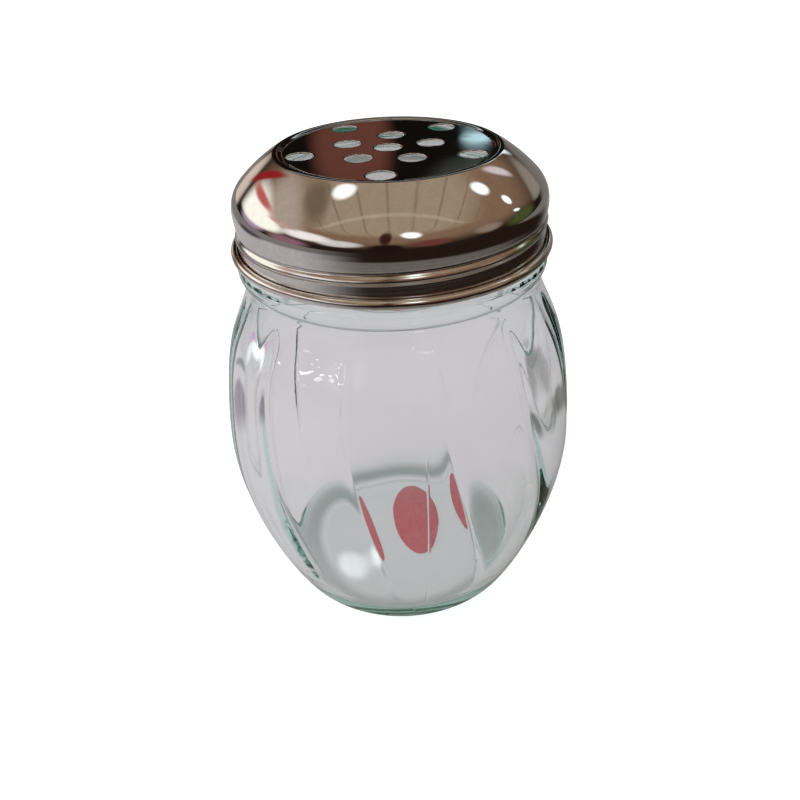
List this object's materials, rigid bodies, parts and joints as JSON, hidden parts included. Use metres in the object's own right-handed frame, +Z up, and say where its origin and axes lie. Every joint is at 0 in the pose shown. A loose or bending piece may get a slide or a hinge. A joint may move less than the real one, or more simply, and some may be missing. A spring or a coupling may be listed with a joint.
{
  "type": "cheese shaker",
  "caption": "Round swirled glass shaker jar with a screw-on perforated steel lid, for grated cheese or spices.",
  "frame": {"origin": "centre of the jar's foot ring, on the surface it stands on", "axes": "+Z up along the jar's axis, -Y towards the front of the picture's view, +X to its right"},
  "size_m": [0.07, 0.07, 0.0927],
  "materials": {
    "jar_glass": "clear pressed soda-lime glass with a faint green edge tint",
    "lid_steel": "polished stainless steel sheet, satin on the skirt",
    "label_paper": "plain red gloss label"
  },
  "bodies": {
    "jar": {"glass_jar": "jar_glass", "base_label": "label_paper"},
    "lid": {"shaker_lid": "lid_steel"}
  },
  "joints": [
    {"name": "lid_lift", "type": "slide", "parent": "jar", "child": "lid", "axis": [0, 0, 1], "range_m": [0, 0.06]}
  ]
}
